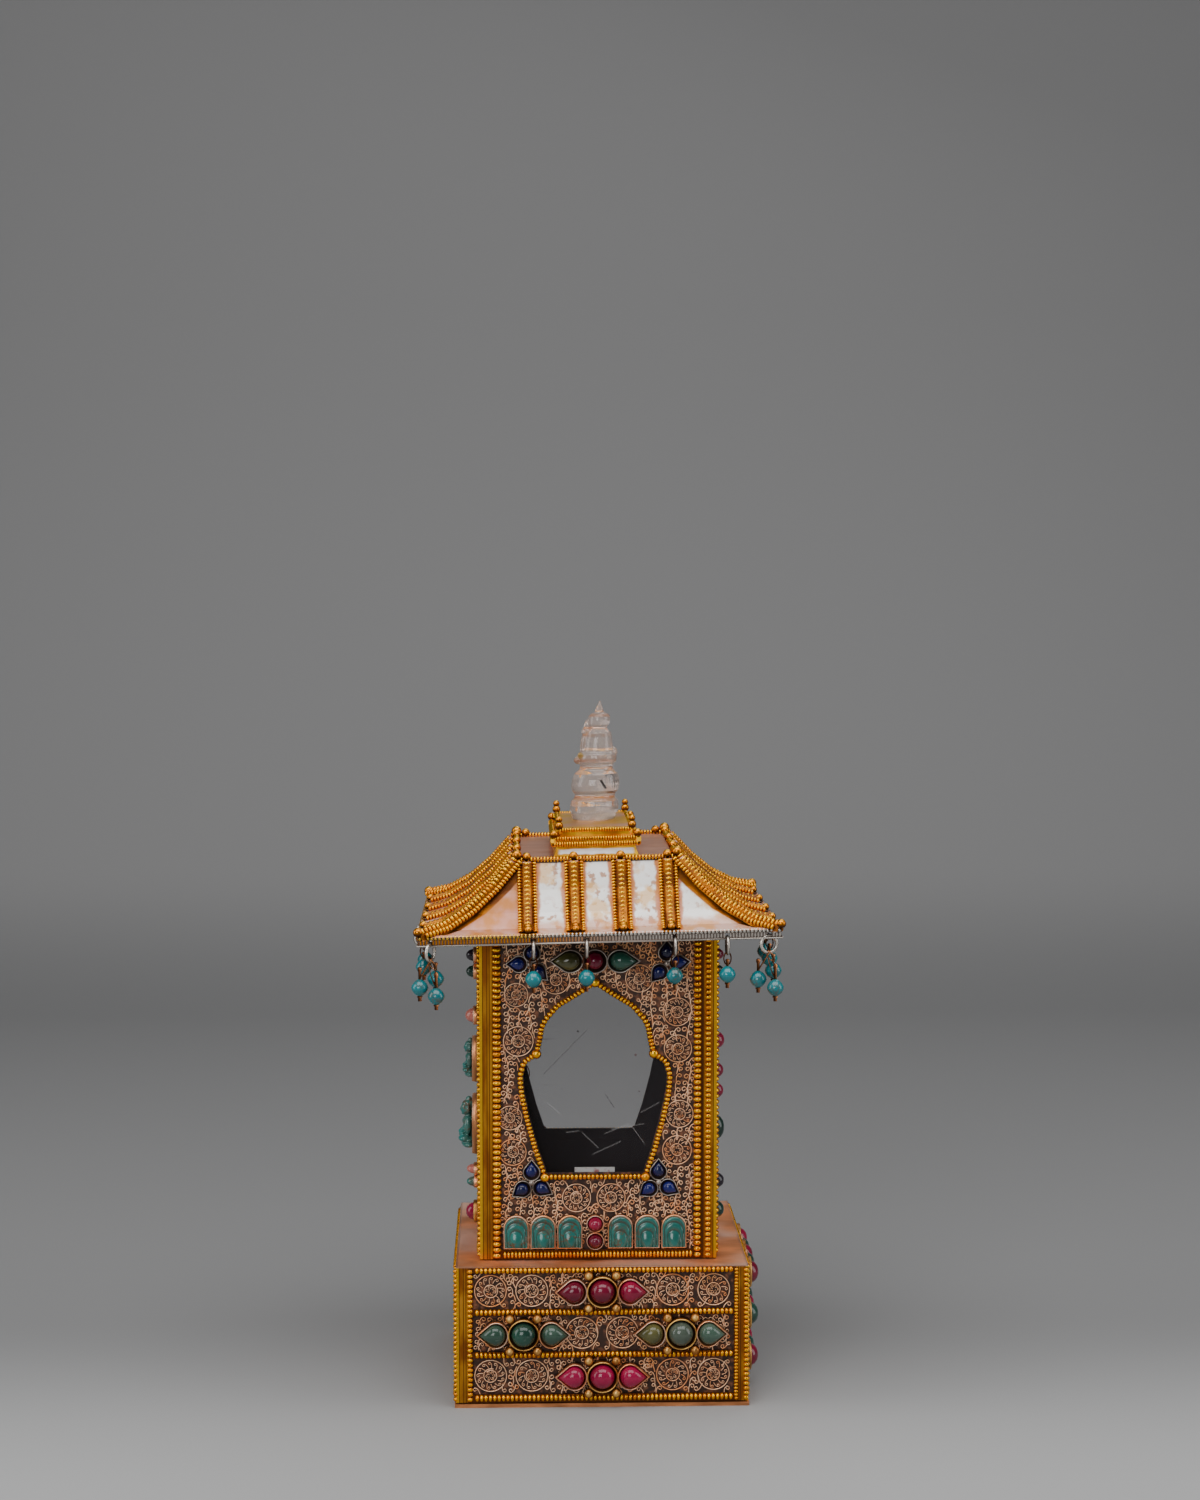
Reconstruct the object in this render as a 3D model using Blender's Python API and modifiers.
"""Small altar shrine box of gilt copper, with stone settings, a pagoda roof and a crystal finial.

Metres, +Z up. The front faces -Y, and the shrine's middle stands over the origin.
"""
import math

import bmesh
import bpy
from mathutils import Matrix, Vector

MM = 0.001
CLEARANCE = 0.3 * MM
SINK = 0.35 * MM  # how far soldered shapes overlap each other

# Shrine walls
BODY_WIDTH = 58.9 * MM
BODY_DEPTH = 55.0 * MM
BODY_WALL = 1.6 * MM
BODY_STRIP = 5.1 * MM
BODY_FOOT_RAIL = 2.3 * MM
BODY_TOP_RAIL = 1.5 * MM
PANEL_RECESS = 0.8 * MM

# Plinth
LEDGE_SIDE = 6.7 * MM
LEDGE_FRONT = 6.5 * MM
BASE_SHIFT_X = 0.8 * MM
BASE_HEIGHT = 34.0 * MM
BASE_WALL = 1.8 * MM
BASE_STRIP = 3.5 * MM
BASE_TOP_RAIL = 1.5 * MM
BASE_FOOT_RAIL = 2.0 * MM
BASE_RAIL = 1.5 * MM
PLATE_THICKNESS = 0.95 * MM
PLATE_LIP = 0.3 * MM

# Window
WINDOW_WIDTH = 37.2 * MM
WINDOW_HEIGHT = 48.7 * MM
WINDOW_SILL = 21.0 * MM
WINDOW_SHIFT = -0.8 * MM
BORDER_WIRE = 1.6 * MM
PANE_THICKNESS = 0.9 * MM
PANE_MARGIN = 2.0 * MM
TAB_WIDTH = 10.0 * MM
TAB_HEIGHT = 3.0 * MM

# Roof
EAVE_HEIGHT = 118.9 * MM
OVERHANG_SIDE = 14.5 * MM
OVERHANG_FRONT = 14.0 * MM
TOP_WIDTH = 39.5 * MM
TOP_DEPTH = 59.0 * MM
ROOF_RISE = 16.8 * MM
ROOF_SAG = 1.8
ROOF_ROLL = math.radians(1.2)
ROOF_SHEET = 1.0 * MM
BAND_HEIGHT = 2.0 * MM
HOOK_LEVEL = 1.1 * MM
RIB_WIDTH = 4.8 * MM
RIB_HEIGHT = 1.6 * MM
RIB_CORNER_GAP = 2.4 * MM
RIBS_PER_SIDE = 4
HIP_WIDTH = 3.2 * MM
RIM_WIRE = 1.2 * MM
CORNER_BALL = 2.2 * MM
SLOPE_STEPS = 4

# Tray and finial
TRAY_WIDTH = 21.0 * MM
TRAY_DEPTH = 47.0 * MM
TRAY_SHEET = 0.8 * MM
SKIRT_HEIGHT = 2.6 * MM
TIER_HEIGHT = 2.0 * MM
TIER_STEP = 1.3 * MM
TRAY_POST = 2.0 * MM
FINIAL_HEIGHT = 30.4 * MM
FINIAL_WIDTH = 12.4 * MM
FINIAL_LEAN = 0.075
FINIAL_SHIFT = 0.1 * MM

# Stone settings
ROUND_SETTING = 8.0 * MM
DROP_LENGTH = 8.15 * MM
DROP_WIDTH = 6.8 * MM
SETTING_HEIGHT = 2.4 * MM
DOME_HEIGHT = 2.1 * MM
GRANULE = 2.3 * MM
GREEN_INSET = 13.2 * MM
SIDE_SPACING = 17.0 * MM
TREFOIL_DROP_LENGTH = 5.4 * MM
TREFOIL_DROP_WIDTH = 4.1 * MM
TREFOIL_INSET = 8.8 * MM
TREFOIL_RIM = 1.2 * MM
TREFOIL_DOME = 1.0 * MM
HUB_OVERLAP = 0.7 * MM
HUB_GRANULE = 3.2 * MM
TREFOIL_FOOT_OUT = 3.3 * MM
TREFOIL_FOOT_DOWN = 2.8 * MM
CROWN_TO_TREFOIL = 3.7 * MM
CROWN_DROP_WIDTH = 6.0 * MM
CROWN_ROUND = 6.3 * MM
TILE_HEIGHT = 8.6 * MM
TILE_GAP = 0.7 * MM
TILE_ASIDE = 0.6 * MM
TILE_PROUD = 1.9 * MM
TILES_PER_SIDE = 3
PAIR_RUBY = 4.5 * MM
CLUSTER_GRANULE_OUT = 0.4 * MM
CLUSTER_GRANULE_TURNS = (48.0, 132.0, 228.0, 312.0)
CROWN_ABOVE_WINDOW = 5.45 * MM
TREFOIL_FALL = 9.3 * MM

# Stones and figures of the side walls: height over the plinth, then width and height or diameter
TOP_PAIR_UP = 72.6 * MM
TOP_PAIR_SIZE = (5.0 * MM, 4.2 * MM)
TOP_PAIR_SECOND = 4.6 * MM
PINK_UP = 57.0 * MM
PINK_SIZE = (6.0 * MM, 5.0 * MM)
UPPER_FIGURE_UP = 46.2 * MM
UPPER_FIGURE_TALL = 11.5 * MM
LOWER_FIGURE_UP = 29.5 * MM
LOWER_FIGURE_TALL = 15.0 * MM
FIGURE_PROUD = 5.6 * MM
FIGURE_SLAB = 2.6 * MM
CORAL_UP = 17.0 * MM
CORAL_SIZE = (5.0 * MM, 3.4 * MM)
CORAL_SECOND = 3.6 * MM
LEFT_RUBY_UP = 5.9 * MM
LEFT_RUBY_SIZE = (6.0 * MM, 6.0 * MM)
FRAMED_RUBY_UP = 50.3 * MM
FRAMED_RUBY_SIZE = (7.0 * MM, 6.0 * MM)
RUBY_PAIR_UP = 42.4 * MM
RUBY_PAIR_SIZE = (5.4 * MM, 5.4 * MM)
RUBY_PAIR_SECOND = 5.6 * MM
GREEN_OVAL_UP = 27.5 * MM
GREEN_OVAL_SIZE = (6.4 * MM, 8.6 * MM)
DARK_UP = 13.6 * MM
DARK_SIZE = (5.4 * MM, 5.4 * MM)
RIGHT_GREEN_UP = 6.0 * MM
RIGHT_GREEN_SIZE = (6.2 * MM, 6.0 * MM)

# Pendants
RING_RADIUS = 2.1 * MM
RING_WIRE = 0.6 * MM
HOOK_HOLE = 1.2 * MM
BEAD = 4.15 * MM
BEAD_DROP = 5.1 * MM
PIN_END = 1.2 * MM
HANG_SPACING = 12.4 * MM
FRONT_HANGS = (-0.371, -0.075, 0.418, 0.712)  # shares of half the eave's width
CORNER_HOOK_INSET = 2.4 * MM

# Values that follow from the sizes above
BASE_WIDTH = BODY_WIDTH + 2 * LEDGE_SIDE
BASE_DEPTH = BODY_DEPTH + 2 * LEDGE_FRONT
BASE_FOOT = PLATE_THICKNESS + CLEARANCE
BASE_TOP = BASE_FOOT + BASE_HEIGHT
BODY_FOOT = BASE_TOP + CLEARANCE
EAVE_WIDTH = BODY_WIDTH + 2 * OVERHANG_SIDE
EAVE_DEPTH = BODY_DEPTH + 2 * OVERHANG_FRONT
SIDE_RUN = (EAVE_WIDTH - TOP_WIDTH) / 2
FRONT_RUN = (EAVE_DEPTH - TOP_DEPTH) / 2
PANEL_HALF = BODY_WIDTH / 2 - BODY_STRIP
REGISTER = (BASE_HEIGHT - BASE_TOP_RAIL - BASE_FOOT_RAIL - 2 * BASE_RAIL) / 3
WINDOW_FOOT = BASE_TOP + WINDOW_SILL
CROWN_REACH = PANEL_HALF - TREFOIL_INSET - CROWN_TO_TREFOIL - abs(WINDOW_SHIFT)
CROWN_DROP = CROWN_REACH - CROWN_ROUND / 2 + SINK

# Half of the window's outline from its sill to its point: shares of half the width and of the height.
WINDOW_OUTLINE = (
    (0.67, 0.00), (0.80, 0.146), (0.91, 0.302), (0.98, 0.43), (1.00, 0.52), (0.95, 0.59),
    (0.78, 0.635), (0.735, 0.71), (0.71, 0.77), (0.66, 0.81), (0.50, 0.88), (0.24, 0.94), (0.0, 1.0),
)
# The finial's turned outline from its tip down: shares of half its width and of its height.
FINIAL_OUTLINE = (
    (0.0, 1.0), (0.10, 0.97), (0.21, 0.89), (0.38, 0.87), (0.45, 0.85), (0.45, 0.79), (0.38, 0.77),
    (0.60, 0.70), (0.70, 0.56), (0.82, 0.54), (0.82, 0.47), (0.69, 0.455), (0.69, 0.42), (0.88, 0.385),
    (0.98, 0.33), (0.98, 0.24), (0.84, 0.195), (0.98, 0.16), (1.0, 0.09), (0.92, 0.0), (0.0, 0.0),
)
# Legs, chest and head of a seated figure: level, width and height as shares of its height, then depth.
FIGURE_FORMS = ((0.17, 0.74, 0.26, 1.0), (0.44, 0.42, 0.44, 0.8), (0.74, 0.26, 0.30, 0.75))
FIGURE_WIDTH_SHARE = 0.82


def clear_scene():
    """Remove whatever the file holds."""
    for item in list(bpy.data.objects):
        bpy.data.objects.remove(item, do_unlink=True)


def new_collection(name):
    """Add a collection to the scene."""
    made = bpy.data.collections.new(name)
    bpy.context.scene.collection.children.link(made)
    return made


def finish(name, colour, roughness, metallic):
    """One plain Principled material."""
    made = bpy.data.materials.new(name)
    made.use_nodes = True
    shader = made.node_tree.nodes["Principled BSDF"]
    shader.inputs["Base Color"].default_value = (*colour, 1.0)
    shader.inputs["Roughness"].default_value = roughness
    shader.inputs["Metallic"].default_value = metallic
    return made


def part(name, bm, material, parent=None):
    """Turn a mesh into a named piece of the shrine."""
    bmesh.ops.recalc_face_normals(bm, faces=bm.faces)
    mesh = bpy.data.meshes.new(name)
    bm.to_mesh(mesh)
    bm.free()
    made = bpy.data.objects.new(name, mesh)
    made.parent = parent
    if material is None:
        made.hide_render = True
        made.display_type = "WIRE"
        tools.objects.link(made)
        return made
    own = material.copy()
    own.name = name
    mesh.materials.append(own)
    shrine.objects.link(made)
    return made


def join(target, addition):
    """Solder further shapes onto a piece."""
    modifier = target.modifiers.new("Join", "BOOLEAN")
    modifier.operation = "UNION"
    modifier.solver = "EXACT"
    modifier.use_self = True
    modifier.object = addition


def cut(target, cutter):
    """Cut shapes out of a piece."""
    modifier = target.modifiers.new("Cut", "BOOLEAN")
    modifier.operation = "DIFFERENCE"
    modifier.solver = "EXACT"
    modifier.object = cutter


def add_box(bm, low, high):
    """Add a box between two corners."""
    low, high = Vector(low), Vector(high)
    size = Matrix.Diagonal((*(high - low), 1.0))
    bmesh.ops.create_cube(bm, size=1.0, matrix=Matrix.Translation((low + high) / 2) @ size)


def add_ball(bm, place, diameter):
    """Add a small granule."""
    bmesh.ops.create_uvsphere(bm, u_segments=4, v_segments=3, radius=diameter / 2, matrix=place)


def add_rod(bm, start, end, diameter, sides=5):
    """Add a straight wire with closed ends."""
    start, end = Vector(start), Vector(end)
    turn = (end - start).to_track_quat("Z", "Y").to_matrix().to_4x4()
    bmesh.ops.create_cone(bm, cap_ends=True, segments=sides, radius1=diameter / 2, radius2=diameter / 2,
                          depth=(end - start).length, matrix=Matrix.Translation((start + end) / 2) @ turn)


def add_loft(bm, rings, apex=None, place=Matrix()):
    """Skin closed rings of equal count, cap the first, and cap the last or draw it to a point."""
    rows = [[bm.verts.new(place @ Vector(point)) for point in ring] for ring in rings]
    count = len(rows[0])
    for low, high in zip(rows, rows[1:]):
        for i in range(count):
            bm.faces.new((low[i], low[(i + 1) % count], high[(i + 1) % count], high[i]))
    bm.faces.new(rows[0][::-1])
    if apex is None:
        bm.faces.new(rows[-1])
        return
    tip = bm.verts.new(place @ Vector(apex))
    for i in range(count):
        bm.faces.new((rows[-1][i], rows[-1][(i + 1) % count], tip))


def wall_frame(side, centre, half_width, half_depth):
    """Frame on one wall: x to the right as seen from outside, y up, z outwards."""
    turn = {"front": 0.0, "right": 90.0, "back": 180.0, "left": 270.0}[side]
    reach = half_depth if side in ("front", "back") else half_width
    return (Matrix.Translation(centre) @ Matrix.Rotation(math.radians(turn), 4, "Z")
            @ Matrix.Translation((0, -reach, 0)) @ Matrix.Rotation(math.radians(90), 4, "X"))


def base_wall(side, recess=0.0):
    """Frame on a plinth side, heights counted from the ground."""
    return wall_frame(side, (BASE_SHIFT_X, 0, 0), BASE_WIDTH / 2 - recess, BASE_DEPTH / 2 - recess)


def body_wall(side, recess=0.0):
    """Frame on a shrine wall, heights counted from the ground."""
    return wall_frame(side, (0, 0, 0), BODY_WIDTH / 2 - recess, BODY_DEPTH / 2 - recess)


def roof_ring(step):
    """Half width, half depth and height of the roof, from the eave at 0 to the top plate at 1."""
    return (EAVE_WIDTH / 2 - SIDE_RUN * step, EAVE_DEPTH / 2 - FRONT_RUN * step,
            ROOF_RISE * step ** ROOF_SAG)


def wall_top():
    """Highest the walls can stand under the slopes of the roof."""
    step = min(max(OVERHANG_SIDE / SIDE_RUN, 0.0), 1.0)
    steepness = ROOF_RISE * ROOF_SAG * step ** (ROOF_SAG - 1) / SIDE_RUN
    under = EAVE_HEIGHT + roof_ring(step)[2] - ROOF_SHEET * math.hypot(1.0, steepness)
    return under - CLEARANCE - SINK - BODY_WIDTH / 2 * math.sin(ROOF_ROLL)


def window_points(grow=0.0):
    """The window's outline, grown or shrunk by a distance, in wall coordinates."""
    half, height = WINDOW_WIDTH / 2, WINDOW_HEIGHT / 2
    right = [(share * (half + grow), WINDOW_FOOT + height + (2 * rise - 1) * (height + grow))
             for share, rise in WINDOW_OUTLINE]
    left = [(-u, v) for u, v in right[-2::-1]]
    return [(u, v) for u, v in right + left]


def round_outline(diameter, sides=8):
    """A circle."""
    return [(diameter / 2 * math.cos(math.tau * i / sides), diameter / 2 * math.sin(math.tau * i / sides))
            for i in range(sides)]


def drop_outline(length, width, arc_points=6):
    """A teardrop with its point at +x."""
    radius = width / 2
    centre = radius - length / 2
    arc = [math.radians(65 + 230 * i / (arc_points - 1)) for i in range(arc_points)]
    return [(length / 2, 0.0)] + [(centre + radius * math.cos(a), radius * math.sin(a)) for a in arc]


def arch_outline(width, height, arc_steps=6):
    """A tile with a straight foot and a round head, its foot at y = 0."""
    radius = width / 2
    shoulder = max(height - radius, 0.2 * height)
    arc = [math.pi * i / arc_steps for i in range(arc_steps + 1)]
    return [(-radius, 0.0), (radius, 0.0)] + [
        (radius * math.cos(a), shoulder + (height - shoulder) * math.sin(a)) for a in arc]


def add_setting(bm, place, outline, rim=SETTING_HEIGHT, dome=DOME_HEIGHT, small=False):
    """A bezel with a domed stone in it, standing on z = 0 of its frame."""
    mid_x = sum(x for x, _ in outline) / len(outline)
    mid_y = sum(y for _, y in outline) / len(outline)

    def ring(share, height):
        return [(mid_x + (x - mid_x) * share, mid_y + (y - mid_y) * share, height) for x, y in outline]

    rings = [ring(1.0, 0.0), ring(0.95, rim), ring(0.78, rim), ring(0.46, rim + 0.75 * dome)]
    if small:
        rings = [ring(1.0, 0.0), ring(0.95, rim), ring(0.5, rim + 0.75 * dome)]
    add_loft(bm, rings, (mid_x, mid_y, rim + dome), place)


def spot(frame, u, v, turn=0.0):
    """A place on a wall, just clear of its sheet, turned about the outward direction."""
    return frame @ Matrix.Translation((u, v, CLEARANCE)) @ Matrix.Rotation(math.radians(turn), 4, "Z")


def stone_piece(name, material, place, outline, extra):
    """A setting fused with the further shapes that touch it."""
    core = bmesh.new()
    add_setting(core, place, outline)
    join(part(name, core, material), part(name + "_extra", extra, None))


def jewel_cluster(name, frame, u, v, material, granules=True):
    """A round stone between two drops that point outwards, with four granules."""
    extra = bmesh.new()
    reach = ROUND_SETTING / 2 + DROP_LENGTH / 2 - SINK
    for turn in (0.0, 180.0):
        offset = Matrix.Translation((reach, 0, 0))
        add_setting(extra, spot(frame, u, v, turn) @ offset, drop_outline(DROP_LENGTH, DROP_WIDTH))
    if granules:
        for turn in CLUSTER_GRANULE_TURNS:
            out = ROUND_SETTING / 2 + CLUSTER_GRANULE_OUT
            offset = Matrix.Translation((out, 0, SETTING_HEIGHT - SINK))
            add_ball(extra, spot(frame, u, v, turn) @ offset, GRANULE)
    stone_piece(name, material, spot(frame, u, v), round_outline(ROUND_SETTING), extra)


def register_height(row):
    """Middle of a register of the plinth, counted from the top one."""
    top = BASE_TOP - BASE_TOP_RAIL
    return top - REGISTER / 2 - row * (REGISTER + BASE_RAIL)


def make_base():
    """Plinth: a box open below, with three framed registers on each side."""
    bm = bmesh.new()
    half_x, half_y = BASE_WIDTH / 2, BASE_DEPTH / 2
    add_box(bm, (BASE_SHIFT_X - half_x, -half_y, BASE_FOOT), (BASE_SHIFT_X + half_x, half_y, BASE_TOP))
    box = part("base_box", bm, gilt)
    hollow = bmesh.new()
    inner_x, inner_y = half_x - BASE_WALL, half_y - BASE_WALL
    ceiling = BASE_TOP - BASE_WALL
    add_box(hollow, (BASE_SHIFT_X - inner_x, -inner_y, 0), (BASE_SHIFT_X + inner_x, inner_y, ceiling))
    for side in ("front", "right", "back", "left"):
        half = (half_x if side in ("front", "back") else half_y) - BASE_STRIP
        frame = base_wall(side)
        for row in range(3):
            low = register_height(row) - REGISTER / 2
            pocket = bmesh.new()
            add_box(pocket, (-half, low, -PANEL_RECESS), (half, low + REGISTER, BASE_WALL))
            pocket.transform(frame)
            add_mesh(hollow, pocket)
    cut(box, part("base_hollows", hollow, None))
    plate = bmesh.new()
    lip_x, lip_y = half_x + PLATE_LIP, half_y + PLATE_LIP
    add_box(plate, (BASE_SHIFT_X - lip_x, -lip_y, 0), (BASE_SHIFT_X + lip_x, lip_y, PLATE_THICKNESS))
    part("base_plate", plate, copper)


def add_mesh(bm, other):
    """Move one bmesh into another."""
    carrier = bpy.data.meshes.new("carrier")
    other.to_mesh(carrier)
    other.free()
    bm.from_mesh(carrier)
    bpy.data.meshes.remove(carrier)


def make_walls():
    """Shrine box: four walls and a ceiling, framed panels, and a window through front and back."""
    top = wall_top()
    half_x, half_y = BODY_WIDTH / 2, BODY_DEPTH / 2
    bm = bmesh.new()
    add_box(bm, (-half_x, -half_y, BODY_FOOT), (half_x, half_y, top))
    walls = part("shrine_walls", bm, gilt)
    hollow = bmesh.new()
    inner_x, inner_y = half_x - BODY_WALL, half_y - BODY_WALL
    add_box(hollow, (-inner_x, -inner_y, 0), (inner_x, inner_y, top - BODY_WALL))
    for side in ("front", "right", "back", "left"):
        half = (half_x if side in ("front", "back") else half_y) - BODY_STRIP
        low = BODY_FOOT + BODY_FOOT_RAIL
        pocket = bmesh.new()
        add_box(pocket, (-half, low, -PANEL_RECESS), (half, top - BODY_TOP_RAIL, BODY_WALL))
        pocket.transform(body_wall(side))
        add_mesh(hollow, pocket)
    cut(walls, part("shrine_hollows", hollow, None))
    opening = bmesh.new()
    outline = window_points(-BORDER_WIRE / 2)
    depth = half_y + BODY_WALL
    rings = [[(u + WINDOW_SHIFT, y, v) for u, v in outline] for y in (-depth, depth)]
    add_loft(opening, rings)
    cut(walls, part("window_opening", opening, None))


def make_window(side, shift):
    """Border wire outside a window and clear pane inside it."""
    outer = body_wall(side, PANEL_RECESS) @ Matrix.Translation((shift, 0, BORDER_WIRE / 2 + CLEARANCE))
    bm = bmesh.new()
    half = BORDER_WIRE / 2
    inner, outer_line = window_points(-half), window_points(half)
    rows = [[bm.verts.new(outer @ Vector((u, v, w))) for u, v in line]
            for line, w in ((inner, -half), (inner, half), (outer_line, half), (outer_line, -half))]
    count = len(inner)
    for low, high in zip(rows, rows[1:] + rows[:1]):
        for i in range(count):
            bm.faces.new((low[i], low[(i + 1) % count], high[(i + 1) % count], high[i]))
    part("window_border_" + side, bm, gilt)
    pane = bmesh.new()
    reach = WINDOW_WIDTH / 2 + PANE_MARGIN
    face = body_wall(side, BODY_WALL + CLEARANCE)
    add_box(pane, (shift - reach, WINDOW_FOOT - PANE_MARGIN, -PANE_THICKNESS),
            (shift + reach, WINDOW_FOOT + WINDOW_HEIGHT + PANE_MARGIN, 0))
    pane.transform(face)
    part("window_pane_" + side, pane, clear)


def make_tab():
    """Small pale tab that stands behind the front pane's sill."""
    bm = bmesh.new()
    behind = BODY_WALL + PANE_THICKNESS + 2 * CLEARANCE
    add_box(bm, (WINDOW_SHIFT - TAB_WIDTH / 2, WINDOW_FOOT - TAB_HEIGHT / 2, -PANE_THICKNESS),
            (WINDOW_SHIFT + TAB_WIDTH / 2, WINDOW_FOOT + TAB_HEIGHT / 2, 0))
    bm.transform(body_wall("front", behind))
    part("window_tab", bm, silver)


def slope_point(side, along, step):
    """A point of a slope: along runs to the right as seen from outside."""
    half_x, half_y, height = roof_ring(step)
    if side == "front":
        return Vector((along, -half_y, height))
    if side == "back":
        return Vector((-along, half_y, height))
    if side == "right":
        return Vector((half_x, along, height))
    return Vector((-half_x, -along, height))


def hip_point(sign_x, sign_y, step):
    """A point of a hip of the roof."""
    half_x, half_y, height = roof_ring(step)
    return Vector((sign_x * half_x, sign_y * half_y, height))


def add_ridge(bm, path, across, width, height, depth):
    """Sweep a low ridge along a path on the roof."""
    section = [(-width / 2, -depth), (width / 2, -depth), (0.2 * width, height), (-0.2 * width, height)]
    rings = []
    for i, point in enumerate(path):
        before, after = path[max(i - 1, 0)], path[min(i + 1, len(path) - 1)]
        outward = across.cross((after - before).normalized())
        outward *= 1 if outward.z > 0 else -1
        rings.append([point + across * u + outward * w for u, w in section])
    add_loft(bm, rings)


def make_roof(seat):
    """Hollow hipped roof with its band, ribs, hips and rim wires."""
    bm = bmesh.new()
    levels = [(EAVE_WIDTH / 2, EAVE_DEPTH / 2, -BAND_HEIGHT)]
    levels += [roof_ring(i / SLOPE_STEPS) for i in range(SLOPE_STEPS + 1)]
    corners = ((-1, -1), (1, -1), (1, 1), (-1, 1))
    rows = [[bm.verts.new((sx * x, sy * y, z)) for sx, sy in corners] for x, y, z in levels]
    for low, high in zip(rows, rows[1:]):
        for i in range(4):
            bm.faces.new((low[i], low[(i + 1) % 4], high[(i + 1) % 4], high[i]))
    bm.faces.new(rows[-1])
    mesh = bpy.data.meshes.new("roof_shell")
    bm.to_mesh(mesh)
    bm.free()
    roof = bpy.data.objects.new("roof_shell", mesh)
    roof.parent = seat
    own = silver.copy()
    own.name = "roof_shell"
    mesh.materials.append(own)
    shrine.objects.link(roof)
    sheet = roof.modifiers.new("Sheet", "SOLIDIFY")
    sheet.thickness = ROOF_SHEET
    sheet.offset = -1.0
    sheet.use_even_offset = True
    wires = bmesh.new()
    for side in ("front", "right", "back", "left"):
        half = (TOP_WIDTH if side in ("front", "back") else TOP_DEPTH) / 2 - RIB_CORNER_GAP
        across = Vector((1, 0, 0)) if side in ("front", "back") else Vector((0, 1, 0))
        for i in range(RIBS_PER_SIDE):
            along = half * (2 * i / (RIBS_PER_SIDE - 1) - 1)
            path = [slope_point(side, along, s) for s in slope_steps(0.06)]
            add_ridge(wires, path, across, RIB_WIDTH, RIB_HEIGHT, SINK)
    for sign_x, sign_y in corners:
        path = [hip_point(sign_x, sign_y, s) for s in slope_steps(0.015)]
        line = path[-1] - path[0]
        across = Vector((line.y, -line.x, 0)).normalized()
        add_ridge(wires, path, across, HIP_WIDTH, RIB_HEIGHT, 2 * SINK)
    for step in (0.0, 1.0):
        half_x, half_y, height = roof_ring(step)
        ring = [Vector((sx * half_x, sy * half_y, height)) for sx, sy in corners]
        for start, end in zip(ring, ring[1:] + ring[:1]):
            add_rod(wires, start, end, RIM_WIRE)
        for corner in ring:
            add_ball(wires, Matrix.Translation(corner + Vector((0, 0, RIB_HEIGHT))), CORNER_BALL)
    holes = bmesh.new()
    for direction, place in hook_places():
        reach = Vector(direction) * (2 * ROOF_SHEET)
        side = Vector((-direction[1], direction[0], 0)) * (HOOK_HOLE / 2)
        rise = Vector((0, 0, HOOK_HOLE / 2))
        add_loft(holes, [[place + end * reach + side - rise, place + end * reach + side + rise,
                          place + end * reach - side + rise, place + end * reach - side - rise]
                         for end in (-1, 1)])
    cut(roof, part("hook_holes", holes, None, seat))
    join(roof, part("roof_wires", wires, None, seat))


def slope_steps(start):
    """Steps up a slope at the sheet's own folds, from a little above the eave to just under the top."""
    return [start] + [i / SLOPE_STEPS for i in range(1, SLOPE_STEPS)] + [0.98]


def hooks():
    """Name, outward direction, hook place on the band and bead layout of each pendant."""
    drop = -HOOK_LEVEL
    half_x, half_y = (EAVE_WIDTH - ROOF_SHEET) / 2, (EAVE_DEPTH - ROOF_SHEET) / 2
    single = ((0.0, 0.0, 0.0),)
    found = []
    for i, share in enumerate(FRONT_HANGS):
        along = share * half_x
        found.append((f"pendant_front_{i + 1}", (0, -1, 0), Vector((along, -half_y, drop)), single))
    for i in (0, 2):
        along = (i - 1) * HANG_SPACING
        found.append((f"pendant_back_{i + 1}", (0, 1, 0), Vector((along, half_y, drop)), single))
    for i in (0, 1):
        along = (i - 1.3) * HANG_SPACING
        found.append((f"pendant_right_{i + 1}", (1, 0, 0), Vector((half_x, along, drop)), single))
    for i in (0, 1):
        along = (i - 1.3) * HANG_SPACING
        found.append((f"pendant_left_{i + 1}", (-1, 0, 0), Vector((-half_x, along, drop)), single))
    bunch = ((-0.62, 0.1, 0.35), (0.35, -0.3, 0.8), (0.3, 0.5, -0.1))
    corner = half_x - CORNER_HOOK_INSET
    found.append(("pendant_corner_right", (0, -1, 0), Vector((corner, -half_y, drop)), bunch))
    found.append(("pendant_corner_left", (0, -1, 0), Vector((-corner, -half_y, drop)), bunch))
    return found


def hook_places():
    """Where the band is pierced for the rings."""
    return [(direction, place) for _, direction, place, _ in hooks()]


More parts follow.
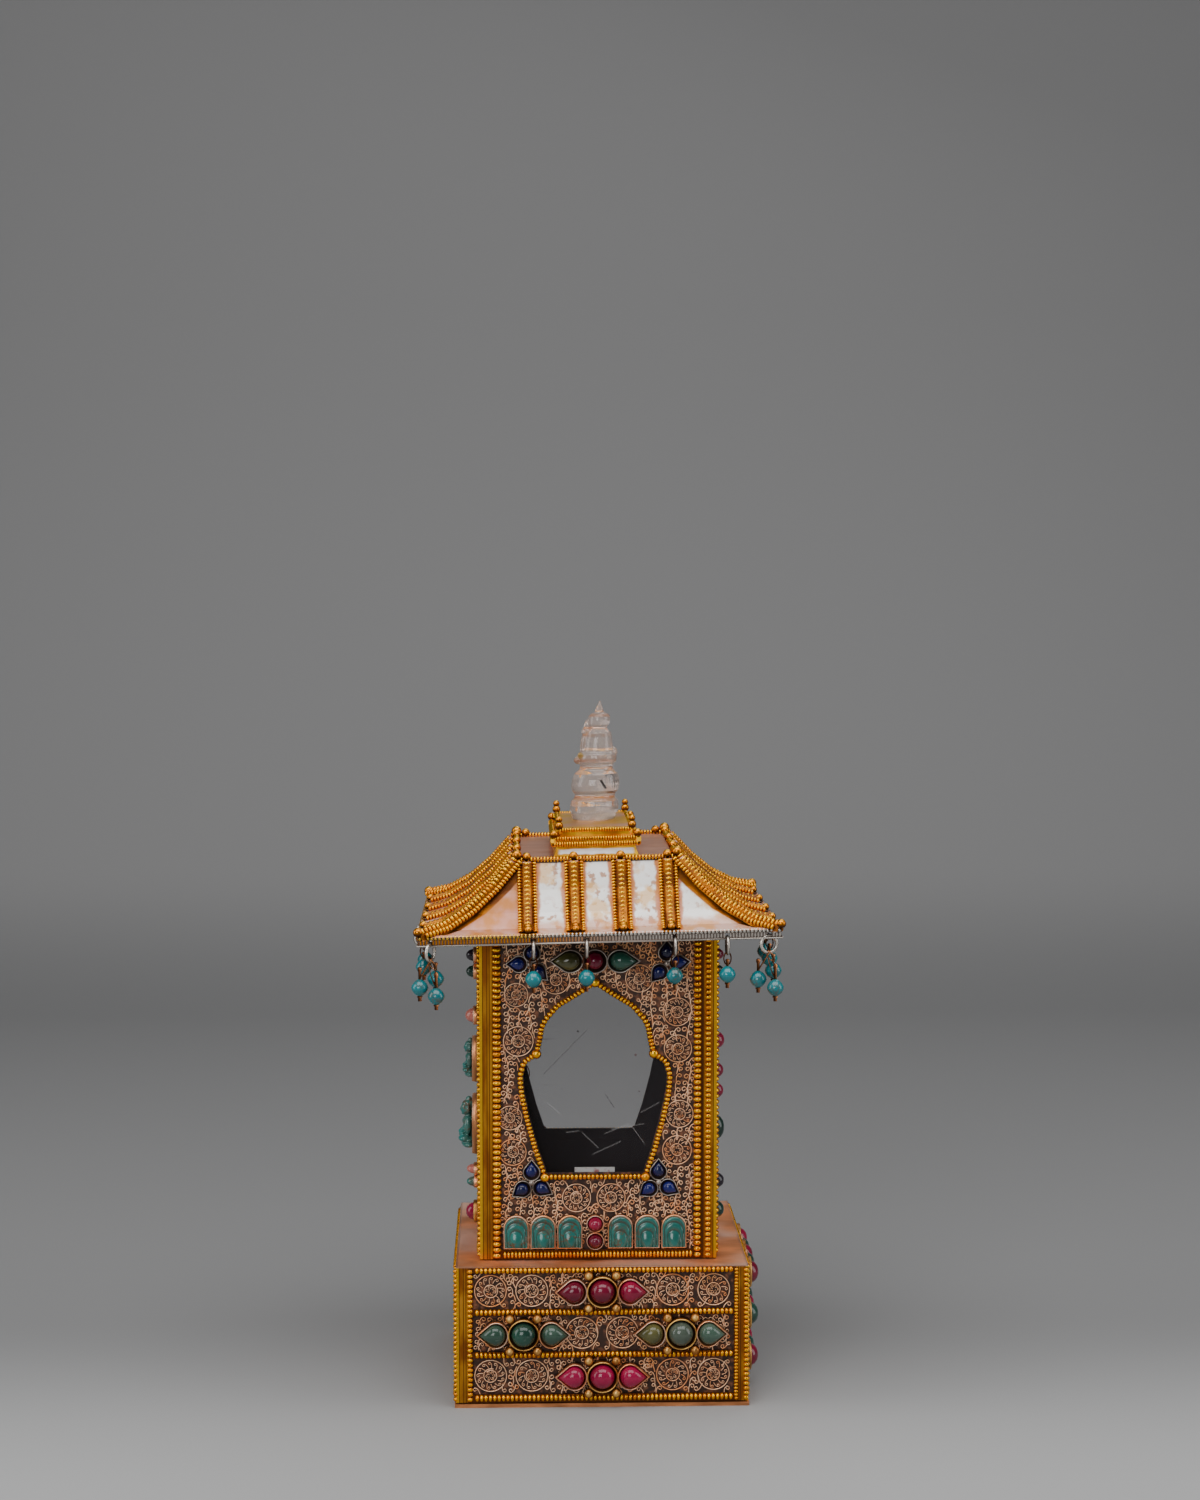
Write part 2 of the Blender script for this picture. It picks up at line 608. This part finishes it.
def make_pendants(seat):
    """Rings with beads, hanging plumb from the pierced band."""
    for name, direction, place, beads in hooks():
        top = seat.matrix_basis @ place
        bpy.ops.mesh.primitive_torus_add(major_segments=6, minor_segments=3, major_radius=RING_RADIUS,
                                         minor_radius=RING_WIRE / 2)
        ring = bpy.context.object
        mesh = ring.data
        bpy.data.objects.remove(ring)
        upright = Matrix.Rotation(math.radians(90), 4, "X")
        turn = Matrix.Rotation(math.atan2(direction[1], direction[0]), 4, "Z")
        core = bmesh.new()
        core.from_mesh(mesh)
        bpy.data.meshes.remove(mesh)
        middle = top - Vector((0, 0, RING_RADIUS))
        core.transform(Matrix.Translation(middle) @ turn @ upright)
        made = part(name, core, turquoise)
        extra = bmesh.new()
        foot = middle - Vector((0, 0, RING_RADIUS))
        for along, out, down in beads:
            bead = foot + Vector((along * BEAD, out * BEAD, -BEAD_DROP - down * BEAD))
            add_rod(extra, foot + Vector((0, 0, 0.4 * RING_WIRE)), bead, 1.6 * RING_WIRE, 4)
            add_rod(extra, bead - Vector((0, 0, 0.3 * BEAD)), bead - Vector((0, 0, BEAD / 2 + PIN_END)),
                    1.4 * RING_WIRE, 3)
            bmesh.ops.create_uvsphere(extra, u_segments=6, v_segments=4, radius=BEAD / 2,
                                      matrix=Matrix.Translation(bead))
        join(made, part(name + "_strand", extra, None))


def make_tray(seat):
    """Stepped tray of sheet, open below, standing on the roof's top plate."""
    foot = ROOF_RISE + CLEARANCE
    half_x, half_y = TRAY_WIDTH / 2, TRAY_DEPTH / 2
    levels = [(0.0, 0.0), (0.4 * TIER_STEP, 0.5 * SKIRT_HEIGHT), (0.5 * TIER_STEP, SKIRT_HEIGHT)]
    for tier in range(2):
        inset, height = (tier + 0.1) * TIER_STEP, SKIRT_HEIGHT + tier * TIER_HEIGHT
        levels += [(inset, height + 0.05 * TIER_HEIGHT), (inset, height + TIER_HEIGHT)]
    corners = ((-1, -1), (1, -1), (1, 1), (-1, 1))
    bm = bmesh.new()
    rows = [[bm.verts.new((sx * (half_x - inset), sy * (half_y - inset), foot + height))
             for sx, sy in corners] for inset, height in levels]
    for low, high in zip(rows, rows[1:]):
        for i in range(4):
            bm.faces.new((low[i], low[(i + 1) % 4], high[(i + 1) % 4], high[i]))
    bm.faces.new(rows[0][::-1])
    bm.faces.new(rows[-1])
    tray = part("roof_tray", bm, gilt, seat)
    hollow = bmesh.new()
    inset = levels[-1][0] + TRAY_SHEET
    top = foot + levels[-1][1]
    add_box(hollow, (inset - half_x, inset - half_y, 0), (half_x - inset, half_y - inset, top - TRAY_SHEET))
    cut(tray, part("tray_hollow", hollow, None, seat))
    posts = bmesh.new()
    for sx, sy in corners:
        for level in (3, 5):
            gap, height = levels[level]
            spot_at = Vector((sx * (half_x - gap), sy * (half_y - gap), foot + height + 0.6 * TRAY_POST))
            add_ball(posts, Matrix.Translation(spot_at), TRAY_POST)
    join(tray, part("tray_posts", posts, None, seat))
    return top


def make_finial(seat, foot):
    """Carved crystal: a turned column that leans a little, with a small pinnacle at its side."""
    profile = bmesh.new()
    half = FINIAL_WIDTH / 2
    points = [profile.verts.new((share * half, 0, rise * FINIAL_HEIGHT)) for share, rise in FINIAL_OUTLINE]
    for first, second in zip(points, points[1:]):
        profile.edges.new((first, second))
    mesh = bpy.data.meshes.new("finial_profile")
    profile.to_mesh(mesh)
    profile.free()
    turned = bpy.data.objects.new("finial_profile", mesh)
    tools.objects.link(turned)
    screw = turned.modifiers.new("Turn", "SCREW")
    screw.steps = 9
    screw.render_steps = 9
    screw.use_merge_vertices = True
    screw.merge_threshold = 0.0001
    bpy.context.view_layer.update()
    shape = bpy.data.meshes.new_from_object(turned.evaluated_get(bpy.context.evaluated_depsgraph_get()))
    bpy.data.objects.remove(turned)
    core = bmesh.new()
    core.from_mesh(shape)
    bpy.data.meshes.remove(shape)
    bmesh.ops.remove_doubles(core, verts=core.verts, dist=0.00005)
    lean = Matrix.Identity(4)
    lean[0][2] = FINIAL_LEAN
    place = Matrix.Translation((FINIAL_SHIFT, 0, foot + CLEARANCE)) @ lean
    core.transform(place)
    column = part("crystal_finial", core, crystal, seat)
    side = bmesh.new()
    outline = round_outline(0.34 * FINIAL_WIDTH, 8)
    rings = [[(x * share, y * share, rise * FINIAL_HEIGHT) for x, y in outline]
             for share, rise in ((1.0, 0.50), (1.0, 0.66), (0.7, 0.69), (1.1, 0.74), (0.5, 0.78))]
    shift = Matrix.Translation((-0.28 * FINIAL_WIDTH, -0.02 * FINIAL_WIDTH, 0))
    add_loft(side, rings, (0, 0, 0.83 * FINIAL_HEIGHT), place @ shift)
    join(column, part("finial_pinnacle", side, None, seat))


def make_base_stones():
    """Clusters on the plinth's front and back, and rows of stones on its right side."""
    front = base_wall("front", PANEL_RECESS)
    back = base_wall("back", PANEL_RECESS)
    jewel_cluster("base_front_ruby_top", front, 0.0, register_height(0), ruby)
    jewel_cluster("base_front_ruby_bottom", front, 0.0, register_height(2), ruby)
    reach = BASE_WIDTH / 2 - BASE_STRIP - GREEN_INSET
    jewel_cluster("base_front_green_left", front, -reach, register_height(1), green)
    jewel_cluster("base_front_green_right", front, reach, register_height(1), green)
    jewel_cluster("base_back_ruby_top", back, 0.0, register_height(0), ruby, granules=False)
    jewel_cluster("base_back_ruby_bottom", back, 0.0, register_height(2), ruby, granules=False)
    right = base_wall("right", PANEL_RECESS)
    for row in range(3):
        extra = bmesh.new()
        height = register_height(row)
        for step in (-1, 1):
            add_setting(extra, spot(right, step * SIDE_SPACING, height), round_outline(ROUND_SETTING))
            gap = SIDE_SPACING - ROUND_SETTING
            middle = step * SIDE_SPACING / 2
            turn = 0.0 if step > 0 else 180.0
            add_setting(extra, spot(right, middle, height, turn), drop_outline(gap + 2 * SINK, DROP_WIDTH))
        material = green if row == 1 else ruby
        middle_spot = spot(right, 0.0, height)
        stone_piece(f"base_right_row_{row + 1}", material, middle_spot, round_outline(ROUND_SETTING), extra)


def trefoil(name, frame, u, v, turn):
    """Three small drops that meet at a granule, their points outwards."""
    core, extra = bmesh.new(), bmesh.new()
    outline = drop_outline(TREFOIL_DROP_LENGTH, TREFOIL_DROP_WIDTH, 5)
    reach = TREFOIL_DROP_LENGTH / 2 + HUB_GRANULE / 2 - HUB_OVERLAP
    for i, target in enumerate((core, extra, extra)):
        place = spot(frame, u, v, turn + 120 * i) @ Matrix.Translation((reach, 0, 0))
        add_setting(target, place, outline, TREFOIL_RIM, TREFOIL_DOME, small=True)
    add_ball(extra, spot(frame, u, v) @ Matrix.Translation((0, 0, HUB_GRANULE / 2)), HUB_GRANULE)
    join(part(name, core, lapis), part(name + "_extra", extra, None))


def crown_stones(name, frame, u, v):
    """A round ruby between two long green drops."""
    extra = bmesh.new()
    reach = CROWN_ROUND / 2 + CROWN_DROP / 2 - SINK
    for turn in (0.0, 180.0):
        add_setting(extra, spot(frame, u, v, turn) @ Matrix.Translation((reach, 0, 0)),
                    drop_outline(CROWN_DROP, CROWN_DROP_WIDTH))
    stone_piece(name, ruby, spot(frame, u, v), round_outline(CROWN_ROUND), extra)


def make_front_stones():
    """Stones and turquoise tiles on the shrine's front, and the crown stones on its back."""
    frame = body_wall("front", PANEL_RECESS)
    crown = WINDOW_FOOT + WINDOW_HEIGHT + CROWN_ABOVE_WINDOW
    crown_stones("front_crown_stones", frame, WINDOW_SHIFT, crown)
    crown_stones("back_crown_stones", body_wall("back", PANEL_RECESS), -WINDOW_SHIFT, crown)
    corner = PANEL_HALF - TREFOIL_INSET
    foot = WINDOW_WIDTH / 2 * WINDOW_OUTLINE[0][0] + TREFOIL_FOOT_OUT
    foot_height = WINDOW_FOOT - TREFOIL_FOOT_DOWN
    trefoil("front_trefoil_1", frame, -corner, EAVE_HEIGHT - TREFOIL_FALL, 60.0)
    trefoil("front_trefoil_2", frame, corner, EAVE_HEIGHT - TREFOIL_FALL, 0.0)
    trefoil("front_trefoil_3", frame, WINDOW_SHIFT - foot, foot_height, 90.0)
    trefoil("front_trefoil_4", frame, WINDOW_SHIFT + foot, foot_height, 90.0)
    foot_line = BODY_FOOT + BODY_FOOT_RAIL
    middle_gap = PAIR_RUBY / 2 + TILE_GAP
    pitch = (PANEL_HALF - abs(WINDOW_SHIFT) - TILE_ASIDE - middle_gap) / TILES_PER_SIDE
    number = 0
    for sign in (-1, 1):
        for i in range(TILES_PER_SIDE):
            step = TILES_PER_SIDE - 1 - i if sign < 0 else i
            number += 1
            along = WINDOW_SHIFT + sign * (middle_gap + (step + 0.5) * pitch)
            outline = arch_outline(pitch - TILE_GAP, TILE_HEIGHT)
            bm = bmesh.new()
            add_setting(bm, spot(frame, along, foot_line + CLEARANCE), outline,
                        rim=0.6 * TILE_PROUD, dome=0.4 * TILE_PROUD)
            part(f"front_tile_{number}", bm, turquoise)
    extra = bmesh.new()
    low = foot_line + PAIR_RUBY / 2 + CLEARANCE
    add_setting(extra, spot(frame, WINDOW_SHIFT, low + PAIR_RUBY - SINK), round_outline(PAIR_RUBY))
    stone_piece("front_ruby_pair", ruby, spot(frame, WINDOW_SHIFT, low), round_outline(PAIR_RUBY), extra)


def seated_figure(name, frame, up, tall):
    """Small carved figure that sits in an arched bezel."""
    core = bmesh.new()
    wide = FIGURE_WIDTH_SHARE * tall
    place = frame @ Matrix.Translation((0, BASE_TOP + up - tall / 2, CLEARANCE))
    outline = arch_outline(wide, tall)
    rings = [[(x, y, w) for x, y in outline] for w in (0.0, FIGURE_SLAB)]
    add_loft(core, rings, None, place)
    made = part(name, core, turquoise)
    body = bmesh.new()
    for level, width, rise, out in FIGURE_FORMS:
        size = Matrix.Diagonal((width * tall / 2, rise * tall / 2, out * FIGURE_PROUD / 2, 1.0))
        at = place @ Matrix.Translation((0, level * tall, out * FIGURE_PROUD / 2 + SINK)) @ size
        bmesh.ops.create_uvsphere(body, u_segments=7, v_segments=4, radius=1.0, matrix=at)
    join(made, part(name + "_body", body, None))


def side_round(name, frame, up, size, material, second=None):
    """A round or stretched stone on a side wall, with a second one that touches it from below."""
    height = BASE_TOP + up
    wide, tall = size
    outline = [(x * wide, y * tall) for x, y in round_outline(1.0)]
    extra = None
    if second is not None:
        extra = bmesh.new()
        below = [(x * second, y * second) for x, y in round_outline(1.0)]
        add_setting(extra, spot(frame, 0.0, height - tall / 2 - second / 2 + SINK), below)
    core = bmesh.new()
    add_setting(core, spot(frame, 0.0, height), outline)
    made = part(name, core, material)
    if extra is not None:
        join(made, part(name + "_extra", extra, None))


def make_side_stones():
    """Columns of stones and carved figures on the shrine's left and right walls."""
    left = body_wall("left", PANEL_RECESS)
    right = body_wall("right", PANEL_RECESS)
    side_round("left_top_pair", left, TOP_PAIR_UP, TOP_PAIR_SIZE, lapis, TOP_PAIR_SECOND)
    side_round("left_pink", left, PINK_UP, PINK_SIZE, coral)
    seated_figure("left_figure_upper", left, UPPER_FIGURE_UP, UPPER_FIGURE_TALL)
    seated_figure("left_figure_lower", left, LOWER_FIGURE_UP, LOWER_FIGURE_TALL)
    side_round("left_coral_pair", left, CORAL_UP, CORAL_SIZE, coral, CORAL_SECOND)
    side_round("left_ruby", left, LEFT_RUBY_UP, LEFT_RUBY_SIZE, ruby)
    side_round("right_top_pair", right, TOP_PAIR_UP, TOP_PAIR_SIZE, ruby, TOP_PAIR_SECOND)
    side_round("right_framed_ruby", right, FRAMED_RUBY_UP, FRAMED_RUBY_SIZE, ruby)
    side_round("right_ruby_pair", right, RUBY_PAIR_UP, RUBY_PAIR_SIZE, ruby, RUBY_PAIR_SECOND)
    side_round("right_green_oval", right, GREEN_OVAL_UP, GREEN_OVAL_SIZE, green)
    side_round("right_dark", right, DARK_UP, DARK_SIZE, lapis)
    side_round("right_green", right, RIGHT_GREEN_UP, RIGHT_GREEN_SIZE, green)


clear_scene()
shrine = new_collection("altar_shrine_box")
tools = new_collection("tools")
gilt = finish("gilt", (0.78, 0.47, 0.13), 0.35, 1.0)
copper = finish("copper", (0.72, 0.40, 0.26), 0.4, 1.0)
silver = finish("silver", (0.80, 0.77, 0.72), 0.35, 1.0)
ruby = finish("ruby", (0.42, 0.03, 0.12), 0.12, 0.0)
green = finish("green_stone", (0.12, 0.30, 0.22), 0.15, 0.0)
lapis = finish("lapis", (0.02, 0.05, 0.32), 0.2, 0.0)
turquoise = finish("turquoise", (0.05, 0.42, 0.40), 0.3, 0.0)
coral = finish("coral", (0.60, 0.25, 0.20), 0.3, 0.0)
clear = finish("clear_pane", (0.85, 0.86, 0.86), 0.05, 0.0)
crystal = finish("crystal", (0.90, 0.80, 0.74), 0.05, 0.0)
roof_seat = bpy.data.objects.new("roof_seat", None)
roof_seat.location = (0, 0, EAVE_HEIGHT)
roof_seat.rotation_euler = (0, -ROOF_ROLL, 0)
shrine.objects.link(roof_seat)
bpy.context.view_layer.update()

make_base()
make_walls()
make_window("front", WINDOW_SHIFT)
make_window("back", -WINDOW_SHIFT)
make_tab()
make_roof(roof_seat)
tray_top = make_tray(roof_seat)
make_finial(roof_seat, tray_top)
make_base_stones()
make_front_stones()
make_side_stones()
make_pendants(roof_seat)
